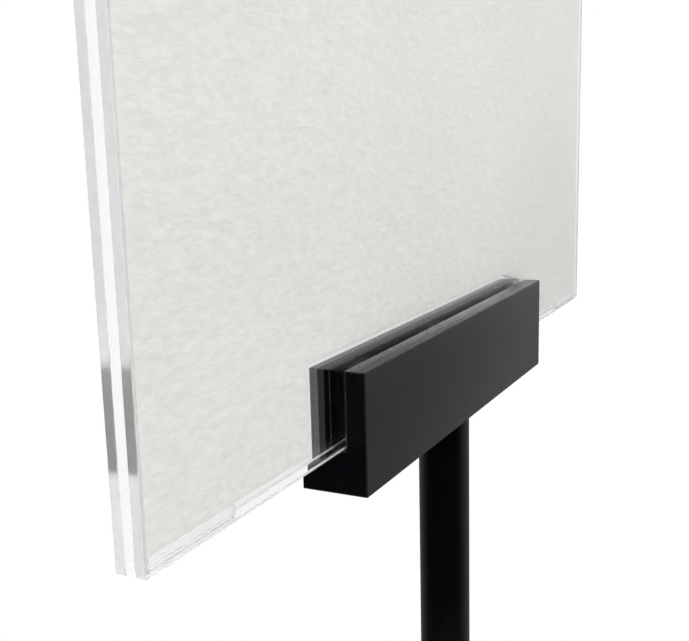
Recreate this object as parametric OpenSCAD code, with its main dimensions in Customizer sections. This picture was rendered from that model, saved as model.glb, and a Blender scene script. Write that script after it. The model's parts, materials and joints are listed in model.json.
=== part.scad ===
// Floor-standing sign stand: a weighted round base, a slim pole and a slotted clamp bar
// that grips two clear panes with a notched insert board between them.
// Millimetres, +Z up. The origin is on the floor, on the pole's axis.
// The sign faces -Y and its width runs along X.

/* [Sign panel] */
// Width of each clear pane
pane_w = 431.8; // [280:0.1:610]
// Height of each clear pane
pane_h = 279.4; // [200:0.1:460]
// Thickness of each clear pane
pane_t = 3.2; // [2.5:0.1:4]
// Space between the two panes
pane_gap = 3; // [2:0.1:4]
// Clear border beside the insert board at each side
side_margin = 3.5; // [1:0.1:12]
// Clear border under the insert board
bottom_margin = 4.5; // [1:0.1:12]
// Clear border above the insert board
top_margin = 1.5; // [0.5:0.1:12]
// Clear space between the left side of the insert's notch and the clamp bar's left end
notch_side = 22; // [4:0.5:30]
// Clear space between the top of the insert's notch and the top of the clamp bar
notch_rise = 7; // [2:0.1:12]
// How far the right side of the insert's notch lies inside the clamp bar's right end
notch_tuck = 6.8; // [2:0.1:8]
// Width of the sloping right corner of the insert's notch
notch_slope_w = 26; // [5:0.5:40]

/* [Clamp bar] */
// Length of the clamp bar along the panes
bar_w = 209.6; // [190:0.1:260]
// Depth of the clamp bar from front to back
bar_d = 25.4; // [22:0.1:32]
// Height of the clamp bar
bar_h = 44.45; // [38:0.05:60]
// Solid height of the bar below its slot
bar_floor = 15.9; // [14:0.1:20]
// Chamfer along the outer edges of the bar
bar_chamfer = 0.4; // [0.2:0.1:1]
// Spare width of the slot around the panes
slot_spare = 0.125; // [0.1:0.025:0.4]
// Thickness of the soft strip in the bottom of the slot
strip_t = 0.8; // [0.5:0.1:2]

/* [Set screws] */
// Thread diameter of the set screws
screw_d = 5; // [4:0.5:6]
// Length of each set screw
screw_len = 5.6; // [4.5:0.1:6]
// Distance between neighbouring pane screws
screw_step = 76.2; // [50:0.1:80]
// Width across flats of the hexagon sockets in the set screws
screw_key = 2.5; // [2:0.5:3]
// Diameter of the soft tips ahead of the set screws
tip_d = 3.4; // [2.5:0.1:3.6]
// Width of the clear spacer blocks between the panes
spacer_w = 15; // [8:0.5:24]
// Width of the clear blocks that the insert board stands on
rest_w = 40; // [15:1:60]

/* [Pole] */
// Outer diameter of the pole
pole_d = 22.2; // [19:0.1:25.4]
// Wall thickness of the pole
pole_wall = 1.6; // [1.2:0.1:2]
// Length of the pole tube
pole_len = 914.4; // [600:0.1:1200]
// Length of the threaded plug in each end of the pole
plug_len = 28; // [22:1:40]
// Diameter of the spigot that the clamp bar turns on
spigot_d = 10; // [8:0.5:11]
// Thickness of the swivel washer under the clamp bar
swivel_t = 0.8; // [0.5:0.1:1.5]

/* [Base] */
// Diameter of the base plate
base_d = 304.8; // [250:0.1:400]
// Thickness of the base plate
base_t = 12.7; // [12:0.1:20]
// Chamfer around the top edge of the base plate
base_chamfer = 2; // [0.5:0.1:4]
// Depth of the seat that centres the pole on the base plate
seat_depth = 1.5; // [1:0.1:2]
// Number of rubber pads under the base plate
pad_count = 6; // [3:1:8]
// Diameter of the rubber pads
pad_d = 20; // [12:0.5:30]
// Height of the rubber pads
pad_h = 3; // [2:0.1:6]
// Thread diameter of the bolt through the base plate
bolt_d = 8; // [6:1:10]

/* [Hidden] */
$fn = 96;

// Clearances and small sizes that follow from the fits
fit = 0.05;
cut = 1;
radial_play = 0.3;

// Heights, counted from the floor
base_z = pad_h;
base_top_z = base_z + base_t;
pole_z = base_top_z - seat_depth;
pole_top_z = pole_z + pole_len;
bar_z = pole_top_z + swivel_t;
slot_z = bar_z + bar_floor;
pane_z = slot_z + strip_t;
bar_top_z = bar_z + bar_h;
insert_z = pane_z + bottom_margin;
insert_top_z = pane_z + pane_h - top_margin;
spacer_top_z = bar_top_z - 4;
screw_z = (slot_z + bar_top_z) / 2;
swivel_screw_z = bar_z + bar_floor / 2;

// Depths, counted from the middle of the bar
slot_w = 2 * pane_t + pane_gap + slot_spare;
wall_t = (bar_d - slot_w) / 2;
front_pane_y = -slot_w / 2 + fit;
rear_pane_y = front_pane_y + pane_t + pane_gap;
rear_pane_back_y = rear_pane_y + pane_t;
bar_back_y = bar_d / 2;
gap_front_y = front_pane_y + pane_t + fit;

// Outline of the insert's notch
notch_z = bar_top_z + notch_rise;
notch_slope_z = bar_top_z + 0.8;
notch_left_x = -bar_w / 2 - notch_side;
notch_right_x = bar_w / 2 - notch_tuck;

// Sizes of the pole's fittings
pole_bore_r = pole_d / 2 - pole_wall;
plug_r = pole_bore_r - fit;
spigot_hole_depth = 13;
spigot_top = 12.5;
spigot_thread_d = 8;
spigot_thread_len = 18;
groove_depth = 1;

// Sizes of the bolt under the base
bolt_head_r = bolt_d * 0.875;
bolt_head_h = bolt_d * 0.55;
bolt_key = bolt_d * 0.625;
bolt_len = 20;
spring_washer_t = 2;
flat_washer_t = 1.6;
washer_r = bolt_d;
recess_r = washer_r + 3;
recess_depth = bolt_head_h + spring_washer_t + flat_washer_t + 0.4;
bolt_seat_z = base_z + recess_depth;
pad_circle_r = base_d / 2 - pad_d / 2 - 10;

module ring(outer_r, inner_r, height) {
    difference() {
        cylinder(r = outer_r, h = height);
        translate([0, 0, -cut])
            cylinder(r = inner_r, h = height + 2 * cut);
    }
}

// Hexagonal key socket of a given width across flats, cut upwards from z = 0
module key_socket(flats, depth) {
    translate([0, 0, -cut])
        cylinder(d = flats / cos(30), h = depth + cut, $fn = 6);
}

// Turns a shape drawn along +Z so that it runs along -Y from the bar's back face
module from_bar_back(x, z) {
    translate([x, bar_back_y, z])
        rotate([90, 0, 0])
            children();
}

module base_plate() {
    color("#1c1c1e")
        difference() {
            rotate_extrude($fn = 180)
                polygon([
                    [0, base_z],
                    [base_d / 2 - 1, base_z],
                    [base_d / 2, base_z + 1],
                    [base_d / 2, base_top_z - base_chamfer],
                    [base_d / 2 - base_chamfer, base_top_z],
                    [0, base_top_z]
                ]);
            translate([0, 0, base_z - cut])
                cylinder(r = recess_r, h = recess_depth + cut);
            translate([0, 0, base_z])
                cylinder(r = bolt_d / 2 + radial_play, h = base_t);
            translate([0, 0, base_top_z - seat_depth])
                cylinder(r = pole_d / 2 + fit, h = seat_depth + cut);
        }
}

module base_pads() {
    color("#2a2a2a")
        for (i = [0 : pad_count - 1])
            rotate([0, 0, (i + 0.5) * 360 / pad_count])
                translate([pad_circle_r, 0, 0])
                    rotate_extrude()
                        polygon([
                            [0, 0],
                            [pad_d / 2 - 1.2, 0],
                            [pad_d / 2, pad_h],
                            [0, pad_h]
                        ]);
}

// Button-head bolt that pulls the pole down on to the base plate
module base_bolt() {
    head_z = bolt_seat_z - flat_washer_t - spring_washer_t - bolt_head_h;
    color("#8a8c90")
        difference() {
            union() {
                translate([0, 0, head_z])
                    rotate_extrude()
                        polygon([
                            [0, 0],
                            [bolt_head_r * 0.6, 0],
                            [bolt_head_r * 0.85, bolt_head_h * 0.3],
                            [bolt_head_r, bolt_head_h * 0.8],
                            [bolt_head_r, bolt_head_h],
                            [0, bolt_head_h]
                        ]);
                translate([0, 0, head_z + bolt_head_h])
                    cylinder(d = bolt_d, h = bolt_len + flat_washer_t + spring_washer_t);
            }
            translate([0, 0, head_z])
                key_socket(bolt_key, bolt_head_h * 0.6);
        }
}

// Split washer, its gap cut through one side
module base_spring_washer() {
    color("#9a9ca0")
        translate([0, 0, bolt_seat_z - flat_washer_t - spring_washer_t])
            difference() {
                ring(bolt_head_r, bolt_d / 2 + radial_play, spring_washer_t);
                translate([0, -0.6, -cut])
                    cube([washer_r * 2, 1.2, spring_washer_t + 2 * cut]);
            }
}

module base_flat_washer() {
    color("#a6a8ac")
        translate([0, 0, bolt_seat_z - flat_washer_t])
            ring(washer_r, bolt_d / 2 + radial_play, flat_washer_t);
}

// Threaded plug that the base bolt screws into
module foot_plug() {
    color("#77797d")
        translate([0, 0, pole_z])
            difference() {
                cylinder(r = plug_r, h = plug_len);
                translate([0, 0, -cut])
                    cylinder(r = bolt_d / 2 + fit, h = plug_len - 4 + cut);
            }
}

module pole_tube() {
    color("#111113")
        translate([0, 0, pole_z])
            ring(pole_d / 2, pole_bore_r, pole_len);
}

// Threaded plug that holds the head spigot
module head_plug() {
    color("#77797d")
        translate([0, 0, pole_top_z - plug_len])
            difference() {
                cylinder(r = plug_r, h = plug_len);
                translate([0, 0, plug_len - spigot_thread_len - 2])
                    cylinder(r = spigot_thread_d / 2 + fit, h = spigot_thread_len + 2 + cut);
            }
}

// Turned spigot: threaded below, plain above with a groove for the swivel screw's tip
module head_spigot() {
    groove_z = swivel_screw_z - pole_top_z;
    color("#8a8c90")
        translate([0, 0, pole_top_z])
            rotate_extrude()
                polygon([
                    [0, -spigot_thread_len],
                    [spigot_thread_d / 2 - 0.8, -spigot_thread_len],
                    [spigot_thread_d / 2, -spigot_thread_len + 0.8],
                    [spigot_thread_d / 2, 0],
                    [spigot_d / 2, 0],
                    [spigot_d / 2, groove_z - tip_d / 2 - groove_depth],
                    [spigot_d / 2 - groove_depth, groove_z - tip_d / 2],
                    [spigot_d / 2 - groove_depth, groove_z + tip_d / 2],
                    [spigot_d / 2, groove_z + tip_d / 2 + groove_depth],
                    [spigot_d / 2, spigot_top - 0.8],
                    [spigot_d / 2 - 0.8, spigot_top],
                    [0, spigot_top]
                ]);
}

module swivel_washer() {
    color("#141414")
        translate([0, 0, pole_top_z])
            ring(pole_d / 2, spigot_d / 2 + fit, swivel_t);
}

// End outline of the clamp bar: a deep slot between two walls, with chamfered outer edges
module bar_outline() {
    c = bar_chamfer;
    y = bar_d / 2;
    s = slot_w / 2;
    polygon([
        [-y + c, 0], [y - c, 0], [y, c], [y, bar_h - c], [y - c, bar_h],
        [s + c, bar_h], [s, bar_h - c], [s, bar_floor], [-s, bar_floor], [-s, bar_h - c],
        [-s - c, bar_h], [-y + c, bar_h], [-y, bar_h - c], [-y, c]
    ]);
}

module clamp_bar() {
    color("#18191a")
        difference() {
            translate([-bar_w / 2, 0, bar_z])
                rotate([90, 0, 90])
                    linear_extrude(bar_w)
                        bar_outline();
            for (x = [-screw_step, 0, screw_step])
                from_bar_back(x, screw_z)
                    translate([0, 0, -cut])
                        cylinder(r = screw_d / 2 + fit, h = wall_t + 2 * cut);
            from_bar_back(0, swivel_screw_z)
                translate([0, 0, -cut])
                    cylinder(r = screw_d / 2 + fit, h = bar_back_y + cut);
            translate([0, 0, bar_z - cut])
                cylinder(r = spigot_d / 2 + fit, h = spigot_hole_depth + cut);
        }
}

module slot_strip() {
    color("#0c0c0c")
        translate([-bar_w / 2 + 0.5, -slot_w / 2 + fit, slot_z])
            cube([bar_w - 1, slot_w - 2 * fit, strip_t]);
}

// Clear pane with polished, slightly eased corners
module pane(y) {
    color([0.92, 0.95, 0.96, 0.35])
        translate([0, y + pane_t, pane_z])
            rotate([90, 0, 0])
                linear_extrude(pane_t)
                    polygon([
                        [-pane_w / 2 + 1, 0], [pane_w / 2 - 1, 0],
                        [pane_w / 2, 1], [pane_w / 2, pane_h - 1],
                        [pane_w / 2 - 1, pane_h], [-pane_w / 2 + 1, pane_h],
                        [-pane_w / 2, pane_h - 1], [-pane_w / 2, 1]
                    ]);
}

module front_pane() {
    pane(front_pane_y);
}

module rear_pane() {
    pane(rear_pane_y);
}

// Clear block between the panes, standing on the line of their lower edges
module gap_block(x, width, height) {
    color([0.92, 0.95, 0.96, 0.35])
        translate([x - width / 2, gap_front_y, pane_z])
            cube([width, pane_gap - fit, height]);
}

// Blocks in line with the pane screws, hidden by the bar's front wall
module pane_spacers() {
    for (x = [-screw_step, 0, screw_step])
        gap_block(x, spacer_w, spacer_top_z - pane_z);
}

// Low blocks at the lower corners, which the insert board stands on
module insert_rests() {
    for (side = [-1, 1])
        gap_block(side * (pane_w - side_margin * 2 - rest_w) / 2, rest_w, bottom_margin);
}

// Board with a notch that clears the clamp bar, its right corner sloping down into the slot
module insert_board() {
    half_w = pane_w / 2 - side_margin;
    color("#e6e8e3")
        translate([0, rear_pane_y - fit, 0])
            rotate([90, 0, 0])
                linear_extrude(pane_gap - 2 * fit)
                    polygon([
                        [-half_w, insert_z], [notch_left_x, insert_z],
                        [notch_left_x, notch_z], [notch_right_x - notch_slope_w, notch_z],
                        [notch_right_x, notch_slope_z], [notch_right_x, insert_z],
                        [half_w, insert_z], [half_w, insert_top_z], [-half_w, insert_top_z]
                    ]);
}

// Headless screw with a hexagon socket, flush with the back of the bar
module set_screw(x, z) {
    color("#2c2d2f")
        from_bar_back(x, z)
            difference() {
                rotate_extrude($fn = 48)
                    polygon([
                        [0, 0], [screw_d / 2 - 0.4, 0], [screw_d / 2, 0.4],
                        [screw_d / 2, screw_len - 0.4], [screw_d / 2 - 0.4, screw_len],
                        [0, screw_len]
                    ]);
                key_socket(screw_key, screw_len * 0.5);
            }
}

// Small pressure tip between a set screw and what it bears on
module screw_tip(x, z, reach_y, tint) {
    color(tint)
        from_bar_back(x, z)
            translate([0, 0, screw_len])
                cylinder(d = tip_d, h = bar_back_y - screw_len - reach_y, $fn = 48);
}

module pane_screw_tip(x) {
    screw_tip(x, screw_z, rear_pane_back_y + fit, "#e8e6df");
}

module left_screw() {
    set_screw(-screw_step, screw_z);
}

module left_screw_tip() {
    pane_screw_tip(-screw_step);
}

module middle_screw() {
    set_screw(0, screw_z);
}

module middle_screw_tip() {
    pane_screw_tip(0);
}

module right_screw() {
    set_screw(screw_step, screw_z);
}

module right_screw_tip() {
    pane_screw_tip(screw_step);
}

module swivel_screw() {
    set_screw(0, swivel_screw_z);
}

module swivel_screw_tip() {
    screw_tip(0, swivel_screw_z, spigot_d / 2 - groove_depth + fit, "#c9a24a");
}

base_plate();
base_pads();
base_bolt();
base_spring_washer();
base_flat_washer();
foot_plug();
pole_tube();
head_plug();
head_spigot();
swivel_washer();
clamp_bar();
slot_strip();
front_pane();
rear_pane();
pane_spacers();
insert_rests();
insert_board();
left_screw();
left_screw_tip();
middle_screw();
middle_screw_tip();
right_screw();
right_screw_tip();
swivel_screw();
swivel_screw_tip();
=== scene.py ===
# Floor-standing sign stand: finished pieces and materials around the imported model.
# Everything is in metres, in the stand's own frame: +Z up, the sign faces -Y.
import json
import math
import bpy
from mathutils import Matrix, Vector


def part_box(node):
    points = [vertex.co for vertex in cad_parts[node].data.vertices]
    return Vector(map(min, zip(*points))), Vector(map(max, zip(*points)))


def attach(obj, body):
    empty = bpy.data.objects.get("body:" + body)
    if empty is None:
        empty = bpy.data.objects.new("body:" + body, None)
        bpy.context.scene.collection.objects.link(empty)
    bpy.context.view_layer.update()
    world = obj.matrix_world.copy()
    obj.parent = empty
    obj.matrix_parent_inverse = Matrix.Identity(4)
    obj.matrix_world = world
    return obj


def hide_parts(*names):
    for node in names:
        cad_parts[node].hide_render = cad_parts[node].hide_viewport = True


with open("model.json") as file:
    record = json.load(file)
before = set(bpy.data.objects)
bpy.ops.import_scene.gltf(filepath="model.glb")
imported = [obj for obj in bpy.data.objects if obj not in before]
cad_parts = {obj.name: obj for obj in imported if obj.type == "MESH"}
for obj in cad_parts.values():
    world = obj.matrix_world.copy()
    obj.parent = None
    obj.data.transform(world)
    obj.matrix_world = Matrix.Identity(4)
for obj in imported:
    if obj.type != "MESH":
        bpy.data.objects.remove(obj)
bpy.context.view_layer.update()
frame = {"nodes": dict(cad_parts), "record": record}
scene = bpy.context.scene
mm = 0.001
near = mm / 10  # points closer than this to a plane count as on it
past = 10 * mm  # how far a cutter runs past the face it opens


# Small helpers for picking and shaping

def deselectAll():
    if bpy.context.object and bpy.context.object.mode != "OBJECT":
        bpy.ops.object.mode_set(mode="OBJECT")
    bpy.ops.object.select_all(action="DESELECT")


def pick(piece):
    deselectAll()
    piece.select_set(True)
    bpy.context.view_layer.objects.active = piece


def openPiece(piece):
    # edit mode with nothing selected
    pick(piece)
    bpy.ops.object.mode_set(mode="EDIT")
    bpy.ops.mesh.select_mode(type="FACE")
    bpy.ops.mesh.select_all(action="DESELECT")


def closePiece():
    bpy.ops.object.mode_set(mode="OBJECT")


def pickFaces(piece, wanted):
    # wanted(centre, normal) says which faces to select; ends in edit mode
    openPiece(piece)
    closePiece()
    for face in piece.data.polygons:
        face.select = wanted(face.center, face.normal)
    bpy.ops.object.mode_set(mode="EDIT")


def pickEdges(piece, wanted):
    # wanted(start, end) says which edges to select; ends in edit mode
    openPiece(piece)
    bpy.ops.mesh.select_mode(type="EDGE")
    closePiece()
    points = piece.data.vertices
    for edge in piece.data.edges:
        start, end = edge.vertices
        edge.select = wanted(points[start].co, points[end].co)
    bpy.ops.object.mode_set(mode="EDIT")


def settle(piece, name):
    # name the piece and put its place into its mesh
    piece.name = name
    piece.data.name = name
    pick(piece)
    bpy.ops.object.transform_apply(location=True, rotation=True, scale=True)
    return piece


def addBlock(low, high):
    deselectAll()
    low = Vector(low)
    high = Vector(high)
    bpy.ops.mesh.primitive_cube_add(size=1, location=(low + high) / 2)
    block = bpy.context.object
    block.scale = high - low
    bpy.ops.object.transform_apply(location=True, rotation=True, scale=True)
    return block


def addRod(radius, bottom, top, sides=96, tipRadius=None):
    # upright rod or cone between two points on a vertical line
    deselectAll()
    bottom = Vector(bottom)
    top = Vector(top)
    bpy.ops.mesh.primitive_cone_add(
        vertices=sides,
        radius1=radius,
        radius2=radius if tipRadius is None else tipRadius,
        depth=(top - bottom).length,
        location=(bottom + top) / 2,
    )
    bpy.ops.object.transform_apply(location=True, rotation=True, scale=True)
    return bpy.context.object


def carve(piece, cutter):
    pick(piece)
    cut = piece.modifiers.new("carve", "BOOLEAN")
    cut.operation = "DIFFERENCE"
    cut.solver = "EXACT"
    cut.object = cutter
    bpy.ops.object.modifier_apply(modifier=cut.name)
    bpy.data.objects.remove(cutter, do_unlink=True)


def roundEdges(piece, width, segments=3, angle=35):
    pick(piece)
    bevel = piece.modifiers.new("round", "BEVEL")
    bevel.width = width
    bevel.segments = segments
    bevel.limit_method = "ANGLE"
    bevel.angle_limit = math.radians(angle)
    bpy.ops.object.modifier_apply(modifier=bevel.name)


def smooth(piece, angle=32):
    pick(piece)
    bpy.ops.object.shade_smooth_by_angle(angle=math.radians(angle))


def copyOf(piece, name):
    # a copy with its own mesh
    twin = piece.copy()
    twin.data = piece.data.copy()
    twin.name = name
    twin.data.name = name
    scene.collection.objects.link(twin)
    return twin


def joinPieces(pieces, name):
    pick(pieces[0])
    for piece in pieces:
        piece.select_set(True)
    bpy.ops.object.join()
    return settle(pieces[0], name)


def tube(outer, inner, low, high, sides=96):
    # upright tube on the stand's axis
    wall = addRod(outer, (0, 0, low), (0, 0, high), sides)
    carve(wall, addRod(inner, (0, 0, low - past), (0, 0, high + past), sides))
    return wall


def dress(piece, slotName, body, *nodeNames):
    piece.data.materials.clear()
    piece.data.materials.append(finishes[slotName])
    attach(piece, body)
    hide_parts(*nodeNames)


# Camera, level with the head of the stand and to its left

cameraView = {
    "place": (-0.4019, -0.1563, 1.0569),
    "tilt": 78.867,
    "roll": 1.469,
    "heading": -63.381,
    "lens": 52.97,
    "bounces": 96,  # the light that enters a pane's end bounces many times before it leaves
    "clearBounces": 16,
}
print("camera")
cameraData = bpy.data.cameras.new("signCamera")
cameraData.lens = cameraView["lens"]
cameraData.sensor_width = 36
cameraData.clip_start = 0.01
cameraData.clip_end = 60
camera = bpy.data.objects.new("signCamera", cameraData)
scene.collection.objects.link(camera)
camera.location = cameraView["place"]
camera.rotation_euler = [math.radians(cameraView[turn]) for turn in ("tilt", "roll", "heading")]
scene.camera = camera
scene.view_settings.view_transform = "Standard"
scene.cycles.max_bounces = cameraView["bounces"]
scene.cycles.glossy_bounces = cameraView["bounces"]
scene.cycles.transmission_bounces = cameraView["bounces"]
scene.cycles.transparent_max_bounces = cameraView["clearBounces"]


# Lamps and sky

studio = {
    "lamps": {
        "frontSoft": {"place": (-0.4, -2.8, 2.0), "aim": (0, 0, 0.9), "size": 2.2, "power": 47},
        "topSoft": {"place": (0.2, 0.2, 3.4), "aim": (0, 0, 0.6), "size": 1.6, "power": 82},
        "leftSoft": {"place": (-2.8, -0.2, 1.5), "aim": (0, 0, 0.9), "size": 1.6, "power": 34},
        "backSoft": {"place": (0.6, 2.8, 1.8), "aim": (0, 0, 0.9), "size": 2.2, "power": 42},
    },
    "paper": 1.0,  # brightness of the white paper behind everything
    "brightSide": (0.96, 0.26, 0.0),  # where reflections find the window side
    "brightFrom": -0.4,
    "brightTo": 0.6,
    "bright": 0.6,
    "dark": 0.012,
    "below": 0.42,  # how much of that is left below the horizon
    "horizonFrom": -0.18,
    "horizonTo": 0.08,
    "floorRadius": 1.1,
    "floorClear": 0.72,  # the floor sheet fades out beyond this part of its radius
}
print("studio")
for lampName, lamp in studio["lamps"].items():
    lampData = bpy.data.lights.new(lampName, "AREA")
    lampData.size = lamp["size"]
    lampData.energy = lamp["power"]
    lampObject = bpy.data.objects.new(lampName, lampData)
    scene.collection.objects.link(lampObject)
    lampObject.location = lamp["place"]
    aim = Vector(lamp["aim"]) - lampObject.location
    lampObject.rotation_euler = aim.to_track_quat("-Z", "Y").to_euler()
    # black gloss and clear sheet then show the soft sky and no lamp shapes
    lampObject.visible_glossy = False
    lampObject.visible_transmission = False


def buildSky():
    world = bpy.data.worlds.new("studioSky")
    scene.world = world
    world.use_nodes = True
    nodes = world.node_tree.nodes
    links = world.node_tree.links
    nodes.clear()
    gradientFrame = nodes.new("NodeFrame")
    gradientFrame.label = "soft side light"
    rayFrame = nodes.new("NodeFrame")
    rayFrame.label = "white paper where it is seen"
    direction = nodes.new("ShaderNodeTexCoord")
    direction.label = "direction of view"
    direction.location = (-1000, 200)
    towards = nodes.new("ShaderNodeVectorMath")
    towards.label = "how far towards the window side"
    towards.location = (-800, 200)
    fade = nodes.new("ShaderNodeMapRange")
    fade.label = "soft edge of the light"
    fade.location = (-600, 200)
    height = nodes.new("ShaderNodeSeparateXYZ")
    height.label = "height of view"
    height.location = (-800, 400)
    horizon = nodes.new("ShaderNodeMapRange")
    horizon.label = "dimmer below the horizon"
    horizon.location = (-600, 450)
    strength = nodes.new("ShaderNodeMath")
    strength.label = "light from there"
    strength.location = (-400, 350)
    room = nodes.new("ShaderNodeBackground")
    room.label = "room light"
    room.location = (-200, 300)
    ray = nodes.new("ShaderNodeLightPath")
    ray.label = "which ray"
    ray.location = (-800, -150)
    seen = nodes.new("ShaderNodeMath")
    seen.label = "seen or seen through"
    seen.location = (-600, -150)
    paper = nodes.new("ShaderNodeBackground")
    paper.label = "white paper"
    paper.location = (-400, -150)
    choice = nodes.new("ShaderNodeMixShader")
    choice.label = "room or paper"
    choice.location = (-150, 50)
    out = nodes.new("ShaderNodeOutputWorld")
    out.location = (50, 50)
    for node in (direction, towards, fade, height, horizon, strength, room):
        node.parent = gradientFrame
    for node in (ray, seen, paper):
        node.parent = rayFrame
    towards.operation = "DOT_PRODUCT"
    towards.inputs[1].default_value = Vector(studio["brightSide"]).normalized()
    fade.interpolation_type = "SMOOTHSTEP"
    fade.inputs["From Min"].default_value = studio["brightFrom"]
    fade.inputs["From Max"].default_value = studio["brightTo"]
    fade.inputs["To Min"].default_value = studio["dark"]
    fade.inputs["To Max"].default_value = studio["bright"]
    horizon.interpolation_type = "SMOOTHSTEP"
    horizon.inputs["From Min"].default_value = studio["horizonFrom"]
    horizon.inputs["From Max"].default_value = studio["horizonTo"]
    horizon.inputs["To Min"].default_value = studio["below"]
    horizon.inputs["To Max"].default_value = 1
    strength.operation = "MULTIPLY"
    room.inputs["Color"].default_value = (1, 1, 1, 1)
    paper.inputs["Color"].default_value = (1, 1, 1, 1)
    paper.inputs["Strength"].default_value = studio["paper"]
    seen.operation = "MAXIMUM"
    links.new(direction.outputs["Generated"], towards.inputs[0])
    links.new(towards.outputs["Value"], fade.inputs["Value"])
    links.new(direction.outputs["Generated"], height.inputs["Vector"])
    links.new(height.outputs["Z"], horizon.inputs["Value"])
    links.new(fade.outputs["Result"], strength.inputs[0])
    links.new(horizon.outputs["Result"], strength.inputs[1])
    links.new(strength.outputs["Value"], room.inputs["Strength"])
    links.new(ray.outputs["Is Camera Ray"], seen.inputs[0])
    links.new(ray.outputs["Is Transmission Ray"], seen.inputs[1])
    links.new(seen.outputs[0], choice.inputs["Fac"])
    links.new(room.outputs["Background"], choice.inputs[1])
    links.new(paper.outputs["Background"], choice.inputs[2])
    links.new(choice.outputs["Shader"], out.inputs["Surface"])


buildSky()


# Materials, one function for each make-up

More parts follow.
